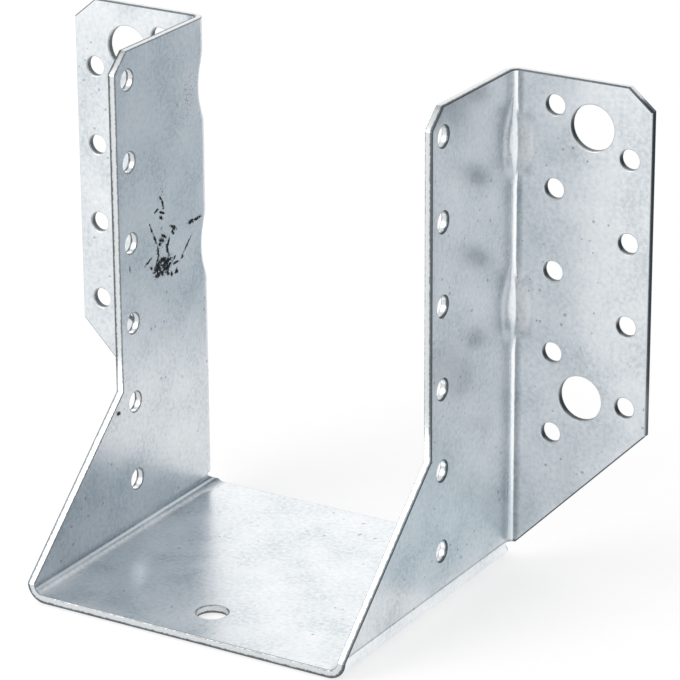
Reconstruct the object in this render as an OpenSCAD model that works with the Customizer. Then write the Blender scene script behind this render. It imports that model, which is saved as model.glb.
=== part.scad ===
// Joist hanger, folded from one galvanised sheet: a seat, two cheeks and two outward wings.
// Millimetres. X runs across the seat, Y towards the beam that the wings are fixed to, and Z up. The
// origin is the middle of the seat's underside. The modules below draw with the beam's face at Y = 0.

/* [Sheet] */
// Thickness of the sheet
sheet_t = 2; // [1.5:0.5:3]
// Inside radius of the bend between seat and cheek
seat_bend_r = 2.5; // [1.5:0.5:6]
// Inside radius of the bend between cheek and wing
wing_bend_r = 1.5; // [1:0.25:2.5]
// Height of the slit that frees the wing from the seat's bend
relief_h = 0.6; // [0.4:0.1:1.5]

/* [Seat] */
// Clear width between the cheeks
seat_w = 82; // [60:1:120]
// Length of the seat from the beam's face to its front edge
seat_d = 78; // [68:1:100]
// Diameter of the hole in the seat
seat_hole_d = 7.5; // [5:0.5:11]
// Distance from the seat's front edge to its hole
seat_hole_in = 12.5; // [8:0.5:18]

/* [Cheeks] */
// Height from the seat's underside to the top edge
hanger_h = 122; // [116:1:150]
// Depth of the cheek's upper part from the beam's face
cheek_d = 39.5; // [34:0.5:50]
// Height of the knee where the cheek starts to widen towards the seat
knee_h = 39; // [30:1:50]
// Corner cut at the top of the cheek, along its depth
cheek_cut_d = 5; // [2:0.5:8]
// Corner cut at the top of the cheek, along its height
cheek_cut_h = 4.5; // [2:0.5:8]

/* [Wings] */
// Width of a wing from the cheek's inner face
wing_w = 37; // [34:0.5:50]
// Height of the wing's lower outer corner
wing_foot_h = 39; // [30:1:48]
// Corner cut at the top of the wing, along its width
wing_cut_w = 6; // [2:0.5:8]
// Corner cut at the top of the wing, along its height
wing_cut_h = 5; // [2:0.5:8]

/* [Nail holes] */
// Diameter of a nail hole
nail_d = 5; // [3.5:0.5:6]
// Distance between nail holes along a column
nail_pitch = 20; // [16:1:20]
// Distance from the top edge to the highest nail holes
top_margin = 7; // [5:0.5:10]
// Nail holes in each cheek
cheek_nails = 6; // [2:1:6]
// Distance from the cheek's front edge to its nail column
cheek_nail_in = 5; // [4:0.5:8]
// Nail holes in the column beside the bend
inner_nails = 5; // [2:1:5]
// Distance from the cheek's inner face to the column beside the bend
inner_nail_x = 12.5; // [11:0.5:14]
// Nail holes in the outer column, set half a pitch lower
outer_nails = 4; // [2:1:4]
// Distance from the outer column to the wing's outer edge
outer_nail_in = 5.5; // [4:0.5:8]

/* [Bolt holes] */
// Diameter of a bolt hole
bolt_d = 11; // [9:0.5:12]
// Distance from the top edge to the upper bolt hole
upper_bolt_down = 11; // [9:0.5:16]
// Distance from the cheek's inner face to the upper bolt hole
upper_bolt_x = 22; // [20:0.5:25]
// Distance from the top edge to the lower bolt hole
lower_bolt_down = 77; // [70:1:78]
// Distance from the cheek's inner face to the lower bolt hole
lower_bolt_x = 20; // [20:0.5:24]

/* [Ribs] */
// Length of a pressed rib along the bend
rib_len = 16; // [12:1:22]
// Height of the rib's crest out of the corner between cheek and wing
rib_rise = 2.7; // [2:0.1:3.5]
// Radius across the rib's crest
rib_round = 7; // [5:0.5:9]
// Ribs in each bend
rib_count = 2; // [1:1:2]
// Distance from the top edge to the middle of the upper rib
rib_down = 17; // [15:0.5:20]
// Distance between the ribs' middles
rib_pitch = 40; // [30:1:40]

/* [Hidden] */
$fn = 96;
cheek_in = seat_w / 2;
cheek_out = cheek_in + sheet_t;
seat_outer_r = seat_bend_r + sheet_t;
wing_outer_r = wing_bend_r + sheet_t;
// the wing bend's axis, in plan, for the right side
bend_x = cheek_out + wing_bend_r;
bend_y = -sheet_t - wing_bend_r;
wing_end = cheek_in + wing_w;
// the wing and its bend start above the slit
wing_base = seat_outer_r + relief_h;
// top nail row, which the cheek and the column beside the bend share
top_row = hanger_h - top_margin;
cheek_nail_y = cheek_nail_in - cheek_d;
// the crest runs along an arc that meets the bend's own fillet at both ends
rib_sag = rib_rise - wing_bend_r * (sqrt(2) - 1);
rib_crest_r = (pow(rib_len / 2, 2) + pow(rib_sag, 2)) / (2 * rib_sag);
// overlap that lets a cutting solid pass clear of a face
over = 1;
// length over which the wing's sheet is one with the cheek's
cheek_lap = sheet_t;

// Runs its children on the right side and again, mirrored, on the left
module both_sides() {
    for (side = [0, 1])
        mirror([side, 0, 0]) children();
}

// A profile with two rounded lower corners, standing on the X axis
module rounded_foot(half_w, r, top) {
    translate([-half_w, r])
        square([2 * half_w, top - r]);
    translate([r - half_w, 0])
        square([2 * (half_w - r), 2 * r]);
    for (side = [-1, 1])
        translate([side * (half_w - r), r])
            circle(r);
}

// Seat and cheeks seen from the front: one U with true bend radii
module channel_section() {
    difference() {
        rounded_foot(cheek_out, seat_outer_r, hanger_h);
        translate([0, sheet_t])
            rounded_foot(cheek_in, seat_bend_r, hanger_h);
    }
}

// Side view of seat and cheek, as Y and Z: sloping from the knee to the seat's front, top corner cut. The
// seat's bend ends on a slope towards the beam, so that the wing's foot clears it.
module cheek_outline() {
    polygon([
        [0, 0],
        [-seat_d, 0],
        [-seat_d, seat_outer_r],
        [-cheek_d, knee_h],
        [-cheek_d, hanger_h - cheek_cut_h],
        [cheek_cut_d - cheek_d, hanger_h],
        [bend_y, hanger_h],
        [bend_y, seat_outer_r],
        [0, sheet_t]
    ]);
}

module channel() {
    intersection() {
        rotate([90, 0, 0])
            linear_extrude(seat_d)
                channel_section();
        rotate([90, 0, 90])
            translate([0, 0, -cheek_out - over])
                linear_extrude(2 * (cheek_out + over))
                    cheek_outline();
    }
}

// Plan of the corner that cheek and wing make: rounded about the bend's axis by the given radius
module corner_plan(r, deep, wide) {
    translate([bend_x, bend_y - deep])
        square([wide, deep + r]);
    translate([bend_x - r, bend_y - deep])
        square([wide + r, deep]);
    translate([bend_x, bend_y])
        circle(r);
}

// Plan of bend and wing: one L with true bend radii, whose short leg is part of the cheek's own sheet
module corner_section() {
    difference() {
        corner_plan(wing_outer_r, cheek_lap, wing_end - bend_x);
        corner_plan(wing_bend_r, cheek_lap + over, wing_end - bend_x + over);
    }
}

// Front view of a wing and its bend, as X and Z: sloping up from the bend's foot, top corner cut
module wing_outline() {
    polygon([
        [cheek_in - over, wing_base],
        [bend_x, wing_base],
        [wing_end, wing_foot_h],
        [wing_end, hanger_h - wing_cut_h],
        [wing_end - wing_cut_w, hanger_h],
        [cheek_in - over, hanger_h]
    ]);
}

module wing() {
    intersection() {
        linear_extrude(hanger_h + over)
            corner_section();
        translate([0, over, 0])
            rotate([90, 0, 0])
                linear_extrude(cheek_lap - bend_y + 2 * over)
                    wing_outline();
    }
}

// A ring lying across the bend's corner: its rim is the pressed rib's crest, set back for the rib's inner face
module rib_ring(set_back) {
    tube_r = rib_round - set_back;
    ring_r = rib_crest_r - rib_round;
    translate([cheek_out, -sheet_t, 0])
        rotate([0, 0, -45])
            translate([rib_rise - rib_crest_r, 0, 0])
                rotate([90, 0, 0])
                    rotate_extrude()
                        intersection() {
                            translate([ring_r, 0])
                                circle(tube_r);
                            translate([0, -rib_round])
                                square([rib_crest_r, 2 * rib_round]);
                        }
}

// The rib's outer face, kept to the corner between cheek and wing
module rib_bead() {
    intersection() {
        rib_ring(0);
        translate([cheek_out - sheet_t / 2, -sheet_t / 2 - rib_len, -rib_len])
            cube([rib_len, rib_len, 2 * rib_len]);
    }
}

module at_ribs() {
    for (i = [0 : rib_count - 1])
        translate([0, 0, hanger_h - rib_down - i * rib_pitch])
            children();
}

// A column of holes that drops from the given height, running along Y through a wing
module wing_column(x, top, count) {
    for (i = [0 : count - 1])
        translate([cheek_in + x, over, top - i * nail_pitch])
            rotate([90, 0, 0])
                cylinder(h = sheet_t + 2 * over, d = nail_d);
}

module bolt_hole(x, down) {
    translate([cheek_in + x, over, hanger_h - down])
        rotate([90, 0, 0])
            cylinder(h = sheet_t + 2 * over, d = bolt_d);
}

module wing_holes() {
    wing_column(inner_nail_x, top_row, inner_nails);
    wing_column(wing_w - outer_nail_in, top_row - nail_pitch / 2, outer_nails);
    bolt_hole(upper_bolt_x, upper_bolt_down);
    bolt_hole(lower_bolt_x, lower_bolt_down);
}

module cheek_holes() {
    for (i = [0 : cheek_nails - 1])
        translate([cheek_in - over, cheek_nail_y, top_row - i * nail_pitch])
            rotate([0, 90, 0])
                cylinder(h = sheet_t + 2 * over, d = nail_d);
}

module seat_hole() {
    translate([0, seat_hole_in - seat_d, -over])
        cylinder(h = sheet_t + 2 * over, d = seat_hole_d);
}

module joist_hanger() {
    color([0.72, 0.76, 0.79])
        translate([0, seat_d / 2, 0])
            difference() {
                union() {
                    channel();
                    both_sides() {
                        wing();
                        at_ribs() rib_bead();
                    }
                }
                both_sides() {
                    at_ribs() rib_ring(sheet_t);
                    wing_holes();
                    cheek_holes();
                }
                seat_hole();
            }
}

joist_hanger();
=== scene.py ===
"""The joist hanger as a picture: its sheet cut, pressed and folded, its zinc coat, and the studio."""

import math

import bmesh
import bpy
from mathutils import Matrix, Vector


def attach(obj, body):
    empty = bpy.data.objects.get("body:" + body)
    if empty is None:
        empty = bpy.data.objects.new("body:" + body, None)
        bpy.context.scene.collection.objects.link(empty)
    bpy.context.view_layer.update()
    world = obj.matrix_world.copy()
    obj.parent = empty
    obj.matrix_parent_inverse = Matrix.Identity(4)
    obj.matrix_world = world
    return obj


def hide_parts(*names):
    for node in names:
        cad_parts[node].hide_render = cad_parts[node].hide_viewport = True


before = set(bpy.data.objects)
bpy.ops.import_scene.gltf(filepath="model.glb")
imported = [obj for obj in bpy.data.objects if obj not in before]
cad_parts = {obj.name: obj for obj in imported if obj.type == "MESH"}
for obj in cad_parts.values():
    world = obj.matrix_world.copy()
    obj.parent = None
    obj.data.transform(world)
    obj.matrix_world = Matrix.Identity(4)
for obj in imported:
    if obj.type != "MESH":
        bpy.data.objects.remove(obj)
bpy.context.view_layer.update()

MM = 0.001
# One unit of the blank's map, in millimetres
MAP_UNIT = 100

# The sheet, in millimetres, as the part's source has it
SHEET = 2.0
SEAT_WIDTH = 82.0
SEAT_DEPTH = 78.0
HEIGHT = 122.0
CHEEK_DEPTH = 39.5
KNEE = 39.0
CHEEK_CUT = (5.0, 4.5)
WING_WIDTH = 37.0
WING_FOOT = 39.0
WING_CUT = (6.0, 5.0)
SLIT = 0.6
SEAT_BEND = 2.5
WING_BEND = 1.5

NAIL_RADIUS = 2.5
NAIL_PITCH = 20.0
TOP_ROW = HEIGHT - 7.0
BOLT_RADIUS = 5.5


def column(top, count):
    """Heights of a column of nail holes, from the lowest up."""
    return [top - i * NAIL_PITCH for i in reversed(range(count))]


# Holes as (reach, heights, radius). Reach counts from the beam's face on a cheek, and on a wing from the
# cheek's inner face.
CHEEK_NAILS = (5.0 - CHEEK_DEPTH, column(TOP_ROW, 6), NAIL_RADIUS)
INNER_NAILS = (12.5, column(TOP_ROW, 5), NAIL_RADIUS)
OUTER_NAILS = (WING_WIDTH - 5.5, column(TOP_ROW - NAIL_PITCH / 2, 4), NAIL_RADIUS)
UPPER_BOLT = (22.0, [HEIGHT - 11.0], BOLT_RADIUS)
LOWER_BOLT = (20.0, [HEIGHT - 77.0], BOLT_RADIUS)
# The seat's hole: its distance from the front edge, and its radius
SEAT_HOLE = (12.5, 3.75)

# Pressed ribs across each wing bend
RIB_HEIGHTS = (HEIGHT - 17.0, HEIGHT - 57.0)
RIB_LENGTH = 16.0
RIB_RISE = 2.7
RIB_ROUND = 7.0
# Width over which a rib runs into the bend, on the outer face and on the inner one
RIB_BLEND = (2.8, 1.4)

# Radius left on an edge by the press tool's shear
SHEAR_ROUND = 0.28
# Share of the seat's bend that reaches the beam's face, where the bend's end is cut on a slope
SLOPE_END = 0.49

# The blank is measured along the middle of the sheet's thickness
HALF = SHEET / 2
SEAT_ARC = (SEAT_BEND + HALF) * math.pi / 2
WING_ARC = (WING_BEND + HALF) * math.pi / 2
FLAT_SEAT = SEAT_WIDTH / 2 - SEAT_BEND
BEND_TOP = SEAT_BEND + SHEET
WING_START = -SHEET - WING_BEND
WING_END = WING_START + WING_ARC
BEND_AXIS = SEAT_WIDTH / 2 + SHEET + WING_BEND

# How finely the blank is cut up: corners of a nail hole and of a larger one, then lines scored across a
# bend, along a rib, and from the bend to the end of a rib's press
NAIL_CORNERS = 32
LARGE_CORNERS = 56
SEAT_BEND_LINES = 12
WING_BEND_LINES = 10
RIB_LINES = 34
PRESS_LINES = 15
# How far the press reaches past a rib's end, and past the bend's sides
PRESS_END = 4.0
PRESS_SIDE = 6.2
# Distance within which a point counts as lying on a scored line
ON_LINE = 1e-4

# Material slots of the cut edges. The coat has the first slot.
SHEARED_EDGE = 1
# a darker copy of the cut edge, as painted shade on the wings' ends and holes
SHADED_CUT_EDGE = 2


def up(z):
    """Blank distance of a height on the cheek."""
    return FLAT_SEAT + SEAT_ARC + z - BEND_TOP


def out(reach):
    """Blank distance of a place on the wing, given its reach from the cheek's inner face."""
    return WING_END + reach - SHEET - WING_BEND


def blank_outline():
    """Corners of the flat blank, anticlockwise: across the seat, up each cheek and out along its wing."""
    right = [
        (up(BEND_TOP), -SEAT_DEPTH),
        (up(KNEE), -CHEEK_DEPTH),
        (up(HEIGHT - CHEEK_CUT[1]), -CHEEK_DEPTH),
        (up(HEIGHT), CHEEK_CUT[0] - CHEEK_DEPTH),
        (up(HEIGHT), out(WING_WIDTH - WING_CUT[0])),
        (up(HEIGHT - WING_CUT[1]), out(WING_WIDTH)),
        (up(WING_FOOT), out(WING_WIDTH)),
        (up(BEND_TOP + SLIT), out(SHEET + WING_BEND)),
        (up(BEND_TOP + SLIT), WING_START),
        (up(BEND_TOP), WING_START),
        (FLAT_SEAT + SLOPE_END * SEAT_ARC, 0.0),
    ]
    return right + [(-u, v) for u, v in reversed(right)]


def hole_centres():
    """(u, v, radius) of every punched hole in the blank."""
    holes = [(0.0, SEAT_HOLE[0] - SEAT_DEPTH, SEAT_HOLE[1])]
    for side in (-1, 1):
        holes += [(side * up(z), CHEEK_NAILS[0], CHEEK_NAILS[2]) for z in CHEEK_NAILS[1]]
        for reach, heights, radius in (INNER_NAILS, OUTER_NAILS, UPPER_BOLT, LOWER_BOLT):
            holes += [(side * up(z), out(reach), radius) for z in heights]
    return holes


def inset_outline(corners, distance):
    """The outline moved inward by a distance, with its corners mitred."""
    moved = []
    for i, here in enumerate(corners):
        before, after = corners[i - 1], corners[(i + 1) % len(corners)]
        normals = []
        for a, b in ((before, here), (here, after)):
            along = Vector((b[0] - a[0], b[1] - a[1])).normalized()
            normals.append(Vector((-along.y, along.x)))
        both = normals[0] + normals[1]
        moved.append(Vector(here) + both * (distance / (1 + normals[0].dot(normals[1]))))
    return moved


def ring(u, v, radius, corners):
    """Points round a hole in the blank."""
    turns = [2 * math.pi * i / corners for i in range(corners)]
    return [Vector((u + radius * math.cos(t), v + radius * math.sin(t))) for t in turns]


def edge_stations():
    """(inset, depth) down a sheared edge, from the inner face over small rounds to the outer face."""
    quarter = [math.radians(a) for a in (0, 30, 60, 90)]
    top = [(SHEAR_ROUND * (1 - math.sin(a)), HALF - SHEAR_ROUND * (1 - math.cos(a))) for a in quarter]
    return top + [(inset, -depth) for inset, depth in reversed(top)]


def add_wall(blank, loops, finish):
    """Joins rings of points, each at its depth, into a wall. Returns the edges of its two rims."""
    rings = [[blank.verts.new((p.x, p.y, depth)) for p in points] for points, depth in loops]
    for above, below in zip(rings, rings[1:]):
        for i in range(len(above)):
            j = (i + 1) % len(above)
            blank.faces.new((above[i], above[j], below[j], below[i])).material_index = finish
    rims = []
    for row in (rings[0], rings[-1]):
        rims.append([blank.edges.get((row[i - 1], row[i])) for i in range(len(row))])
    return rims


def punched_blank():
    """The flat blank with its holes, as a solid whose z is the depth through the sheet."""
    blank = bmesh.new()
    outline = blank_outline()
    stations = edge_stations()
    loops = [(inset_outline(outline, inset), depth) for inset, depth in stations]
    walls = [add_wall(blank, loops, SHEARED_EDGE)]
    for u, v, radius in hole_centres():
        corners = NAIL_CORNERS if radius == NAIL_RADIUS else LARGE_CORNERS
        loops = [(ring(u, v, radius + inset, corners), depth) for inset, depth in stations]
        # the wings' holes, like their ends, get the darker copy of the cut edge, as painted shade
        walls.append(add_wall(blank, loops, SHADED_CUT_EDGE if v > 0 else SHEARED_EDGE))
    # the wings' ends get the darker copy too, as painted shade
    wing_edge = out(WING_WIDTH) - 2 * SHEAR_ROUND
    for face in blank.faces:
        if all(vert.co.y > wing_edge for vert in face.verts):
            face.material_index = SHADED_CUT_EDGE
    for rims in zip(*walls):
        edges = [edge for rim in rims for edge in rim]
        bmesh.ops.triangle_fill(blank, use_beauty=True, edges=edges)
    bmesh.ops.recalc_face_normals(blank, faces=blank.faces)
    return blank


def score(blank, axis, places, zone=None):
    """Cuts lines into the blank across an axis, so that it can bend there, or only in a zone of it."""
    normal = Vector((1, 0, 0)) if axis == 0 else Vector((0, 1, 0))
    for place in places:
        faces = blank.faces
        if zone:
            (u0, u1), (v0, v1) = zone
            centres = [(f, f.calc_center_median()) for f in blank.faces]
            faces = [f for f, c in centres if u0 < c.x < u1 and v0 < c.y < v1]
        edges = {e for f in faces for e in f.edges}
        verts = {v for f in faces for v in f.verts}
        geometry = list(faces) + list(edges) + list(verts)
        here = normal * place
        bmesh.ops.bisect_plane(blank, geom=geometry, dist=ON_LINE, plane_co=here, plane_no=normal)


def spread(low, high, steps):
    """Places from low to high, evenly apart."""
    return [low + (high - low) * i / steps for i in range(steps + 1)]


def score_blank(blank):
    """Scores the bends, and a fine grid where each rib is pressed."""
    for side in (-1, 1):
        score(blank, 0, [side * u for u in spread(FLAT_SEAT, FLAT_SEAT + SEAT_ARC, SEAT_BEND_LINES)])
    score(blank, 1, spread(WING_START, WING_END, WING_BEND_LINES))
    reach = RIB_LENGTH / 2 + PRESS_END
    v0, v1 = WING_START - PRESS_SIDE, WING_END + PRESS_SIDE
    score(blank, 1, [v0, v1])
    for side in (-1, 1):
        for height in RIB_HEIGHTS:
            u0, u1 = sorted((side * (up(height) - reach), side * (up(height) + reach)))
            score(blank, 0, [u0, u1])
            zone = ((u0, u1), (v0, v1))
            score(blank, 0, spread(u0, u1, RIB_LINES)[1:-1], zone)
            score(blank, 1, spread(v0, WING_START, PRESS_LINES)[1:-1], zone)
            score(blank, 1, spread(WING_END, v1, PRESS_LINES)[1:-1], zone)


def fold(u, v, depth):
    """Where a point of the blank lies once it is folded, with the beam's face at y = 0."""
    side = -1 if u < 0 else 1
    u = abs(u)
    if u <= FLAT_SEAT:
        return Vector((side * u, v, HALF + depth))
    if u < FLAT_SEAT + SEAT_ARC:
        turn = (u - FLAT_SEAT) / (SEAT_BEND + HALF)
        radius = SEAT_BEND + HALF - depth
        x = FLAT_SEAT + radius * math.sin(turn)
        return Vector((side * x, v, BEND_TOP - radius * math.cos(turn)))
    z = u - FLAT_SEAT - SEAT_ARC + BEND_TOP
    if v <= WING_START or z <= BEND_TOP + SLIT / 2:
        return Vector((side * (SEAT_WIDTH / 2 + HALF - depth), v, z))
    radius = WING_BEND + HALF + depth
    turn = min((v - WING_START) / (WING_BEND + HALF), math.pi / 2)
    beyond = max(v - WING_END, 0.0)
    x = BEND_AXIS - radius * math.cos(turn) + beyond
    return Vector((side * x, WING_START + radius * math.sin(turn), z))


def blended_max(a, b, width):
    """The larger of two heights, with the corner between them rounded over a width."""
    near = max(width - abs(a - b), 0.0) / width
    return max(a, b) + near * near * width / 4


def press_rib(point, depth):
    """Pushes a point of a wing bend out to the rib's crest, as a rounded die presses it."""
    side = -1 if point.x < 0 else 1
    corner = Vector((SEAT_WIDTH / 2 + SHEET, -SHEET))
    offset = Vector((abs(point.x), point.y)) - corner
    out_of_bend = (offset.x - offset.y) / math.sqrt(2)
    across = (offset.x + offset.y) / math.sqrt(2)
    tube = RIB_ROUND - HALF - depth
    sag = RIB_RISE - WING_BEND * (math.sqrt(2) - 1)
    crest = ((RIB_LENGTH / 2) ** 2 + sag**2) / (2 * sag)
    soft = RIB_BLEND[0] if depth < 0 else RIB_BLEND[1]
    for height in RIB_HEIGHTS:
        along = point.z - height
        if abs(across) >= tube or abs(along) >= crest:
            continue
        rim = crest - RIB_ROUND + math.sqrt(tube**2 - across**2)
        if rim <= abs(along):
            continue
        pressed = RIB_RISE - crest + math.sqrt(rim**2 - along**2)
        raised = blended_max(out_of_bend, pressed, soft)
        shift = (raised - out_of_bend) / math.sqrt(2)
        point = Vector((point.x + side * shift, point.y - shift, point.z))
    return point


def folded_sheet():
    """The whole hanger: blank punched, scored, folded and its ribs pressed."""
    blank = punched_blank()
    score_blank(blank)
    flat = blank.loops.layers.uv.new("Blank")
    through = blank.loops.layers.uv.new("Depth")
    for face in blank.faces:
        face.smooth = True
        for loop in face.loops:
            # the second map is 0 on the outer face and 1 on the inner one
            loop[flat].uv = (loop.vert.co.x / MAP_UNIT, loop.vert.co.y / MAP_UNIT)
            loop[through].uv = (loop.vert.co.z / SHEET + 0.5, 0.0)
    for vert in blank.verts:
        u, v, depth = vert.co
        place = press_rib(fold(u, v, depth), depth)
        vert.co = (place + Vector((0, SEAT_DEPTH / 2, 0))) * MM
    bmesh.ops.recalc_face_normals(blank, faces=blank.faces)
    mesh = bpy.data.meshes.new("hanger_sheet")
    blank.to_mesh(mesh)
    blank.free()
    sheet = bpy.data.objects.new("hanger_sheet", mesh)
    bpy.context.scene.collection.objects.link(sheet)
    # the flats outweigh the narrow strips of the bends beside them
    even = sheet.modifiers.new("Even flats", "WEIGHTED_NORMAL")
    even.weight = 90
    return sheet


# Materials


def linear(hex_colour):
    """An sRGB hex colour as linear RGBA."""
    parts = [int(hex_colour[i : i + 2], 16) / 255 for i in (1, 3, 5)]
    return [c / 12.92 if c <= 0.04045 else ((c + 0.055) / 1.055) ** 2.4 for c in parts] + [1.0]


def add(tree, kind, inputs=None, stops=(), **settings):
    """Adds a node with its settings, a ramp's stops and its links.

    An input is a value, a socket, or a node, which then feeds it from its first output in use.
    """
    node = tree.nodes.new(kind)
    for name, value in settings.items():
        setattr(node, name, value)
    for _ in stops[2:]:
        node.color_ramp.elements.new(0.5)
    for element, (position, colour) in zip(node.color_ramp.elements if stops else (), stops):
        element.position, element.color = position, linear(colour)
    for name, value in (inputs or {}).items():
        if isinstance(value, bpy.types.Node):
            value = next(socket for socket in value.outputs if socket.enabled)
        if isinstance(value, bpy.types.NodeSocket):
            tree.links.new(value, node.inputs[name])
        else:
            node.inputs[name].default_value = value
    return node


def blank_material(name):
    """A material with no nodes yet, and its tree."""
    material = bpy.data.materials.new(name)
    material.use_nodes = True
    material.node_tree.nodes.clear()
    return material, material.node_tree


# Dirt on the left cheek's inner face: strokes from one (reach, height) to the next, and half their width.
# Fraying takes some off their ends and sides, so they are laid on longer and wider.
STROKE_STRETCH = (1.15, 1.35)
STROKES = [
    ((-24.8, 64.4), (-22.2, 66.8), 0.95),
    ((-21.8, 65.4), (-17.9, 66.3), 0.7),
    ((-21.2, 63.9), (-18.1, 65.1), 0.65),
    ((-24.7, 63.4), (-22.3, 64.1), 0.5),
    ((-22.6, 67.1), (-20.0, 66.6), 0.45),
    ((-22.4, 64.4), (-21.4, 62.8), 0.35),
    ((-19.9, 63.9), (-19.0, 62.3), 0.35),
    ((-18.1, 62.6), (-17.4, 61.6), 0.3),
    ((-16.2, 62.3), (-15.0, 62.1), 0.5),
    ((-26.8, 66.4), (-25.9, 66.0), 0.3),
    ((-28.8, 67.7), (-26.2, 68.7), 0.25),
    ((-24.1, 66.8), (-23.0, 68.5), 0.25),
    ((-23.1, 68.2), (-23.6, 70.9), 0.3),
    ((-23.8, 71.6), (-25.0, 73.9), 0.28),
    ((-25.4, 74.6), (-26.5, 77.0), 0.2),
    ((-18.8, 67.1), (-19.8, 70.2), 0.28),
    ((-19.6, 69.0), (-18.5, 71.4), 0.32),
    ((-22.6, 72.2), (-20.9, 71.6), 0.4),
    ((-21.7, 73.2), (-19.6, 72.0), 0.3),
    ((-23.1, 71.1), (-21.8, 71.0), 0.3),
    ((-17.8, 74.3), (-15.3, 72.8), 0.32),
    ((-17.3, 73.0), (-16.5, 71.9), 0.32),
    ((-10.2, 72.8), (-7.6, 72.7), 0.38),
    ((-7.8, 72.7), (-4.6, 72.9), 0.3),
    ((-13.3, 65.3), (-12.5, 64.8), 0.35),
    ((-12.4, 66.0), (-9.3, 68.9), 0.22),
    ((-16.8, 64.6), (-14.7, 64.4), 0.25),
    ((-17.2, 65.2), (-15.9, 66.3), 0.22),
    ((-21.2, 82.0), (-20.7, 79.6), 0.3),
    ((-22.2, 83.0), (-21.5, 82.0), 0.25),
    ((-24.3, 79.6), (-22.7, 80.0), 0.25),
    ((-22.3, 79.2), (-20.3, 78.2), 0.25),
    ((-22.4, 78.0), (-21.2, 77.0), 0.28),
    ((-35.3, 69.5), (-35.3, 68.0), 0.15),
    ((-42.4, 34.7), (-41.0, 34.2), 0.4),
]

# Spatter on the same face: clusters of fine black specks, as (reach, height), half their spread, density
SPATTER = [
    ((-21.2, 64.9), (6.0, 4.2), 0.19),
    ((-20.6, 71.6), (5.0, 6.0), 0.1),
    ((-9.0, 104.0), (7.0, 15.0), 0.09),
    ((-21.0, 84.0), (3.5, 4.0), 0.1),
]

# Painted light and shade along a bend, as shares of the way across its span and tones: #bcbcbc leaves
# the coat as it is, a darker tone is painted shade, and a lighter one is a painted highlight
# painted highlight over the wing's bend, and painted shade on the wing just past it
WING_PAINTED_SHADING = [
    (0.0, "#bcbcbc"),
    (0.2, "#c1c1c1"),
    (0.42, "#c6c6c6"),
    (0.47, "#d0d0d0"),
    (0.6, "#d0d0d0"),
    (0.64, "#989898"),
    (0.8, "#a2a2a2"),
    (1.0, "#bcbcbc"),
]
# painted highlight on the rib's cheek side, and painted shade on its wing side
RIB_PAINTED_SHADING = [
    (0.0, "#bcbcbc"),
    (0.2, "#c0c0c0"),
    (0.5, "#c8c8c8"),
    (0.54, "#9e9e9e"),
    (0.8, "#a6a6a6"),
    (1.0, "#bcbcbc"),
]
# painted shade in the seat's inner crease, either side of a thin painted highlight line
CREASE_PAINTED_SHADING = [
    (0.0, "#bcbcbc"),
    (0.25, "#aeaeae"),
    (0.54, "#a8a8a8"),
    (0.6, "#d6d6d6"),
    (0.67, "#d6d6d6"),
    (0.73, "#9e9e9e"),
    (0.84, "#b2b2b2"),
    (1.0, "#bcbcbc"),
]
# painted shade in the seat's inner crease, darker towards the beam's face
REAR_PAINTED_SHADE = [
    (0.0, "#bcbcbc"),
    (0.3, "#b0b0b0"),
    (0.6, "#a0a0a0"),
    (0.9, "#9c9c9c"),
    (1.0, "#bcbcbc"),
]
# painted reflection as a lighter band along the seat's outer bend, with a thin painted dark line where it
# meets the cheek
FOOT_PAINTED_SHADING = [
    (0.0, "#bcbcbc"),
    (0.4, "#cccccc"),
    (0.76, "#cccccc"),
    (0.78, "#a4a4a4"),
    (0.8, "#a4a4a4"),
    (0.84, "#bcbcbc"),
]
# The spans: each bend and a little of the flats beside it
WING_SPAN = (WING_START - 0.6, WING_END + 1.4)
RIB_SPAN = (WING_START - 4.5, WING_END + 4.5)
CREASE_SPAN = (FLAT_SEAT - 0.8, FLAT_SEAT + SEAT_ARC + 0.6)
FOOT_SPAN = (FLAT_SEAT - 0.8, FLAT_SEAT + SEAT_ARC + 3.0)
# The wing's painted light and shade gives way to the rib's between these distances from the rib's middle
RIB_FADE = (8.5, 6.5)
# The painted shade in the crease grows between these distances from the beam's face
REAR_FADE = (-25.0, -2.0)


def repeats(size):
    """How often a pattern of a size in millimetres fits into one unit of the blank's map."""
    return MAP_UNIT / size


def oval_distance(tree, place, middle, half, lean=0.0):
    """Distance from an oval's middle in the blank, which is 1 at its rim."""
    local = add(
        tree,
        "ShaderNodeMapping",
        {
            "Vector": place,
            "Location": (middle[0] / MAP_UNIT, middle[1] / MAP_UNIT, 0.0),
            "Rotation": (0.0, 0.0, lean),
            "Scale": (half[0] / MAP_UNIT, half[1] / MAP_UNIT, 1.0),
        },
        vector_type="TEXTURE",
    )
    return add(tree, "ShaderNodeVectorMath", {0: local}, operation="LENGTH")


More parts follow.
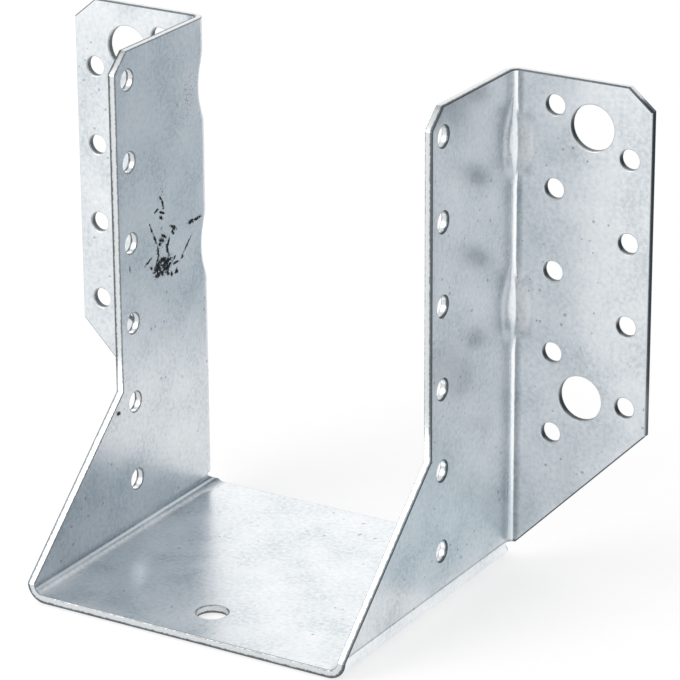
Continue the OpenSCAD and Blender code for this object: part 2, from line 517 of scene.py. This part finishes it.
def dirt_marks(tree, place):
    """How black the left cheek's inner face is: frayed strokes, and spatter that thins out."""
    # starts far outside every stroke, whose rim is at 1
    nearest = 10.0
    for (reach_a, height_a), (reach_b, height_b), half_width in STROKES:
        start, end = Vector((-up(height_a), reach_a)), Vector((-up(height_b), reach_b))
        lean = math.atan2(end.y - start.y, end.x - start.x)
        half = ((end - start).length / 2 * STROKE_STRETCH[0], half_width * STROKE_STRETCH[1])
        away = oval_distance(tree, place, (start + end) / 2, half, lean)
        nearest = add(tree, "ShaderNodeMath", {0: away, 1: nearest}, operation="MINIMUM")
    # fraying of about 0.6 mm moves the strokes' rims in and out
    fray = add(tree, "ShaderNodeTexNoise", {"Vector": place, "Scale": repeats(0.588), "Detail": 2.0})
    ragged = add(tree, "ShaderNodeMapRange", {0: fray, 1: 0.3, 2: 0.7, 3: -0.6, 4: 0.6})
    frayed = add(tree, "ShaderNodeMath", {0: nearest, 1: ragged}, operation="ADD")
    black = add(tree, "ShaderNodeMapRange", {0: frayed, 1: 1.3, 2: 0.75})
    # grit of about 0.4 mm shows where it passes a bar, which rises from a cluster's middle to its rim
    grit = add(tree, "ShaderNodeTexNoise", {"Vector": place, "Scale": repeats(0.385), "Detail": 1.0})
    for (reach, height), (half_reach, half_height), density in SPATTER:
        away = oval_distance(tree, place, (-up(height), reach), (half_height, half_reach))
        bar = add(tree, "ShaderNodeMapRange", {0: away, 1: 0.0, 2: 1.0, 3: 0.68 - density, 4: 0.78})
        over = add(tree, "ShaderNodeMath", {0: grit, 1: bar}, operation="SUBTRACT")
        specks = add(tree, "ShaderNodeMapRange", {0: over, 1: 0.0, 2: 0.04})
        black = add(tree, "ShaderNodeMath", {0: black, 1: specks}, operation="MAXIMUM")
    return black


def paint_bend_shading(tree, coat, across, span, stops, places):
    """The coat with a band of painted light and shade across a span of the blank, in the places given."""
    way = add(tree, "ShaderNodeMapRange", {0: across, 1: span[0] / MAP_UNIT, 2: span[1] / MAP_UNIT})
    painted_tones = add(tree, "ShaderNodeValToRGB", {0: way}, stops)
    shown = 1.0
    for place in places:
        shown = add(tree, "ShaderNodeMath", {0: place, 1: shown}, operation="MULTIPLY")
    return add(
        tree,
        "ShaderNodeMix",
        {0: shown, 6: coat, 7: painted_tones},
        data_type="RGBA",
        blend_type="LINEAR_LIGHT",
    )


def cloudy_zinc(tree, clouds, grain):
    """The bare coat's colour: light and dark clouds, and the grain of its crystals."""
    both = add(tree, "ShaderNodeMath", {0: clouds, 1: grain}, operation="ADD")
    tone = add(tree, "ShaderNodeMath", {0: both, 1: 0.5}, operation="MULTIPLY")
    shades = [(0.36, "#c6cdd2"), (0.5, "#dbe0e4"), (0.64, "#e8ebee")]
    return add(tree, "ShaderNodeValToRGB", {0: tone}, shades)


def dross_specks(tree, place, coat):
    """The coat with grey specks of dross, of about 0.3 mm, thicker in patches of 20 mm."""
    # each cell of 2.4 mm holds one speck, and most are too small to see
    cells = add(tree, "ShaderNodeTexVoronoi", {"Vector": place, "Scale": repeats(2.38)})
    chance = add(tree, "ShaderNodeSeparateXYZ", {0: cells.outputs["Color"]})
    patchy = add(tree, "ShaderNodeTexNoise", {"Vector": place, "Scale": repeats(20.0), "Detail": 2.0})
    thick = add(tree, "ShaderNodeMapRange", {0: patchy, 1: 0.36, 2: 0.6, 3: 0.03, 4: 0.2})
    size = add(tree, "ShaderNodeMath", {0: thick, 1: chance}, operation="MULTIPLY")
    speck = add(tree, "ShaderNodeMath", {0: cells, 1: size}, operation="LESS_THAN")
    faint = add(tree, "ShaderNodeMath", {0: speck, 1: 0.5}, operation="MULTIPLY")
    return add(tree, "ShaderNodeMix", {0: faint, 6: coat, 7: linear("#6f7679")}, data_type="RGBA")


def paint_all_bend_shading(tree, place, inner, outer, coat):
    """The coat with painted light and shade along all bends. The wing's is left out where a rib crosses
    it.
    """
    along, across = add(tree, "ShaderNodeSeparateXYZ", {0: place}).outputs[:2]
    height = add(tree, "ShaderNodeMath", {0: along}, operation="ABSOLUTE")
    foot = up(BEND_TOP) / MAP_UNIT
    on_bend = [outer, add(tree, "ShaderNodeMath", {0: height, 1: foot}, operation="GREATER_THAN")]
    far, near = (distance / MAP_UNIT for distance in RIB_FADE)
    for rib in RIB_HEIGHTS:
        middle = up(rib) / MAP_UNIT
        offset = add(tree, "ShaderNodeMath", {0: height, 1: middle}, operation="SUBTRACT")
        away = add(tree, "ShaderNodeMath", {0: offset}, operation="ABSOLUTE")
        on_bend.append(add(tree, "ShaderNodeMapRange", {0: away, 1: near, 2: far, 3: 0.0, 4: 1.0}))
        on_rib = add(tree, "ShaderNodeMapRange", {0: away, 1: far, 2: near})
        coat = paint_bend_shading(tree, coat, across, RIB_SPAN, RIB_PAINTED_SHADING, [outer, on_rib])
    coat = paint_bend_shading(tree, coat, across, WING_SPAN, WING_PAINTED_SHADING, on_bend)
    start, end = (distance / MAP_UNIT for distance in REAR_FADE)
    rear = add(tree, "ShaderNodeMapRange", {0: across, 1: start, 2: end})
    coat = paint_bend_shading(tree, coat, height, CREASE_SPAN, CREASE_PAINTED_SHADING, [inner])
    coat = paint_bend_shading(tree, coat, height, CREASE_SPAN, REAR_PAINTED_SHADE, [inner, rear])
    return paint_bend_shading(tree, coat, height, FOOT_SPAN, FOOT_PAINTED_SHADING, [outer])


def galvanised_sheet():
    """Hot-dip galvanised steel sheet: cool grey zinc, a blurred mirror with cloudy crystals and dirt, and
    painted light and shade on the bends.
    """
    material, tree = blank_material("galvanised steel sheet, hot dipped")
    place = add(tree, "ShaderNodeUVMap", uv_map="Blank")
    depth = add(tree, "ShaderNodeSeparateXYZ", {0: add(tree, "ShaderNodeUVMap", uv_map="Depth")})
    inner = add(tree, "ShaderNodeMath", {0: depth, 1: 0.9}, operation="GREATER_THAN")
    outer = add(tree, "ShaderNodeMath", {0: depth, 1: 0.1}, operation="LESS_THAN")

    # clouds of about 12 mm, left by the coat as it drains off the strip
    clouds = add(tree, "ShaderNodeTexNoise", {"Vector": place, "Scale": repeats(12.5), "Detail": 3.0})
    # small crystals of zinc, about 1 mm, and their finer grain
    spangle = {"Vector": place, "Scale": repeats(1.11), "Detail": 3.0, "Roughness": 0.6}
    grain = add(tree, "ShaderNodeTexNoise", spangle)
    coat = dross_specks(tree, place, cloudy_zinc(tree, clouds, grain))
    # painted light and shade along the bends
    coat = paint_all_bend_shading(tree, place, inner, outer, coat)

    marks = add(tree, "ShaderNodeMath", {0: dirt_marks(tree, place), 1: inner}, operation="MULTIPLY")
    finish = add(tree, "ShaderNodeMix", {0: marks, 6: coat, 7: linear("#14181a")}, data_type="RGBA")
    shine = add(tree, "ShaderNodeMapRange", {0: clouds, 1: 0.3, 2: 0.7, 3: 0.25, 4: 0.33})
    # crystals stand 0.1 mm proud at most, and are laid on faintly
    bump = add(tree, "ShaderNodeBump", {"Height": grain, "Strength": 0.12, "Distance": 0.1 * MM})
    metal = add(
        tree,
        "ShaderNodeBsdfPrincipled",
        {"Base Color": finish, "Metallic": 1.0, "Roughness": shine, "Normal": bump},
    )
    add(tree, "ShaderNodeOutputMaterial", {"Surface": metal})
    return material


# Tones through the sheet's thickness, from the outer face to the inner one
SHEARED_TONES = [
    (0.0, "#565c60"),
    (0.28, "#6e7478"),
    (0.38, "#d2d6d8"),
    (0.84, "#dcdfe1"),
    (0.93, "#8d9397"),
]
# The darker copy: a narrow bright band at the outer face, and the rest darkened as painted shade
SHADED_CUT_TONES = [
    (0.0, "#d4d8da"),
    (0.16, "#c5cacc"),
    (0.3, "#6a7073"),
    (0.85, "#5f6568"),
    (0.97, "#8f9598"),
]


def cut_steel(name, tones, blur):
    """Bare steel cut by the press: a bright band that the punch burnished, and a dull one that tore. The
    darker copy's wide dull band is painted shade.
    """
    material, tree = blank_material(name)
    depth = add(tree, "ShaderNodeSeparateXYZ", {0: add(tree, "ShaderNodeUVMap", uv_map="Depth")})
    place = add(tree, "ShaderNodeTexCoord").outputs["Object"]
    # tears of about 0.7 mm, which let the bands wander
    tear = add(tree, "ShaderNodeTexNoise", {"Vector": place, "Scale": 1 / (0.667 * MM), "Detail": 2.0})
    ragged = add(tree, "ShaderNodeMapRange", {0: tear, 1: 0.3, 2: 0.7, 3: -0.06, 4: 0.06})
    wander = add(tree, "ShaderNodeMath", {0: depth, 1: ragged}, operation="ADD")
    band = add(tree, "ShaderNodeValToRGB", {0: wander}, tones)
    bare = {"Base Color": band, "Metallic": 1.0, "Roughness": blur}
    metal = add(tree, "ShaderNodeBsdfPrincipled", bare)
    add(tree, "ShaderNodeOutputMaterial", {"Surface": metal})
    return material


sheet = folded_sheet()
sheet.data.materials.append(galvanised_sheet())
sheet.data.materials.append(cut_steel("sheared steel edge", SHEARED_TONES, 0.34))
# the darker copy of the cut edge is painted shade
sheet.data.materials.append(cut_steel("cut steel edge, painted shade", SHADED_CUT_TONES, 0.4))
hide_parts("joist_hanger")
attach(sheet, "root")


# Studio, in metres

FLOOR_SIZE = 6.0
# Gap that keeps the floor's face and the seat's underside apart
FLOOR_GAP = 0.2 * MM
# The camera's place: degrees round the hanger, above it and of roll, then metres from its aim
AZIMUTH, ELEVATION, ROLL = 31.08, 21.08, 0.34
DISTANCE = 0.8795
# The point that the camera aims at, in millimetres
AIM = (10.3, 14.0, 57.5)
# The lens's focal length and the sensor's width, in millimetres
LENS = 200.9
SENSOR = 36.0


def shown_rays(tree):
    """1 where a ray comes from the camera, or from a shiny or clear surface."""
    rays = add(tree, "ShaderNodeLightPath").outputs
    either = {0: rays["Is Camera Ray"], 1: rays["Is Glossy Ray"]}
    shown = add(tree, "ShaderNodeMath", either, operation="MAXIMUM")
    return add(tree, "ShaderNodeMath", {0: shown, 1: rays["Is Transmission Ray"]}, operation="MAXIMUM")


def pale_floor():
    """Matt white paint on a board: it shows white past the hanger's soft shadow."""
    material, tree = blank_material("pale matt floor")
    seen = shown_rays(tree)
    # it throws a little less light back on the hanger than it shows
    tones = {0: seen, 6: linear("#e0e0e0"), 7: linear("#ffffff")}
    paint = add(tree, "ShaderNodeMix", tones, data_type="RGBA")
    share = add(tree, "ShaderNodeMath", {0: seen, 1: 0.6}, operation="MULTIPLY")
    matt = add(tree, "ShaderNodeBsdfDiffuse", {"Color": paint})
    white = add(tree, "ShaderNodeEmission", {"Color": linear("#ffffff"), "Strength": 1.0})
    lifted = add(tree, "ShaderNodeMixShader", {0: share, 1: matt, 2: white})
    add(tree, "ShaderNodeOutputMaterial", {"Surface": lifted})
    bpy.ops.mesh.primitive_plane_add(size=FLOOR_SIZE, location=(0, 0, -FLOOR_GAP))
    floor = bpy.context.object
    floor.name = "floor"
    floor.data.materials.append(material)


def studio_world():
    """A plain bright room, which is white where it is seen."""
    world = bpy.data.worlds.new("studio")
    bpy.context.scene.world = world
    world.use_nodes = True
    tree = world.node_tree
    tree.nodes.clear()
    room = add(tree, "ShaderNodeBackground", {"Color": linear("#ffffff"), "Strength": 0.85})
    white = add(tree, "ShaderNodeBackground", {"Color": linear("#ffffff"), "Strength": 1.0})
    both = add(tree, "ShaderNodeMixShader", {0: shown_rays(tree), 1: room, 2: white})
    add(tree, "ShaderNodeOutputWorld", {"Surface": both})


def grey_card(name, tone, place, turn, size):
    """A grey card beside the set. Only the metal's shine shows it, as a darker side of the room."""
    material, tree = blank_material(name.replace("_", " "))
    face = add(tree, "ShaderNodeEmission", {"Color": linear(tone), "Strength": 1.0})
    add(tree, "ShaderNodeOutputMaterial", {"Surface": face})
    rotation = [math.radians(a) for a in turn]
    bpy.ops.mesh.primitive_plane_add(size=1, location=place, rotation=rotation)
    card = bpy.context.object
    card.name = name
    card.scale = (size[0], size[1], 1)
    card.visible_camera = card.visible_diffuse = card.visible_shadow = card.visible_transmission = False
    card.data.materials.append(material)


def softbox(name, place, target, size, power, tint):
    """A broad lamp that faces its target."""
    light = bpy.data.lights.new(name, "AREA")
    light.shape, light.size, light.size_y, light.energy = "RECTANGLE", size[0], size[1], power
    light.color = linear(tint)[:3]
    lamp = bpy.data.objects.new(name, light)
    bpy.context.scene.collection.objects.link(lamp)
    lamp.location = place
    lamp.rotation_euler = (Vector(target) - Vector(place)).to_track_quat("-Z", "Y").to_euler()


def camera():
    """The photograph's viewpoint, from the hanger's front right and above."""
    azimuth, elevation, roll = (math.radians(angle) for angle in (AZIMUTH, ELEVATION, ROLL))
    right = Vector((math.cos(azimuth), math.sin(azimuth), 0))
    level = math.cos(elevation)
    forward = Vector((-math.sin(azimuth) * level, math.cos(azimuth) * level, -math.sin(elevation)))
    tilted = Matrix.Rotation(roll, 3, forward) @ right
    above = tilted.cross(forward)
    data = bpy.data.cameras.new("camera")
    data.sensor_width, data.lens = SENSOR, LENS
    data.clip_start = 0.01
    shot = bpy.data.objects.new("camera", data)
    bpy.context.scene.collection.objects.link(shot)
    facing = Matrix((tilted, above, -forward)).transposed().to_4x4()
    shot.matrix_world = Matrix.Translation(Vector(AIM) * MM - forward * DISTANCE) @ facing
    bpy.context.scene.camera = shot


pale_floor()
studio_world()
# The cards stand for the darker sides of the room that the photograph's metal mirrors: behind the seat, on
# the floor below the right wing, and upright behind it
grey_card("back_card", "#c1c9cf", (0.028, 0.1144, 0.0505), (90, 0, -31), (0.075, 0.1))
grey_card("low_card", "#d0d9de", (0.095, 0.0565, 0.0004), (0, 0, 0), (0.09, 0.095))
grey_card("side_card", "#5f6c76", (0.115, 0.115, 0.09), (90, 0, 90), (0.17, 0.18))
softbox("key", (-0.8, -0.9, 0.9), (0, 0, 0.05), (1.1, 1.1), 11.0, "#fffdfa")
softbox("back", (-0.75, 1.25, 0.6), (0, 0, 0.0), (1.1, 1.0), 0.82, "#fffaf5")
camera()

bpy.context.scene.view_settings.view_transform = "Standard"
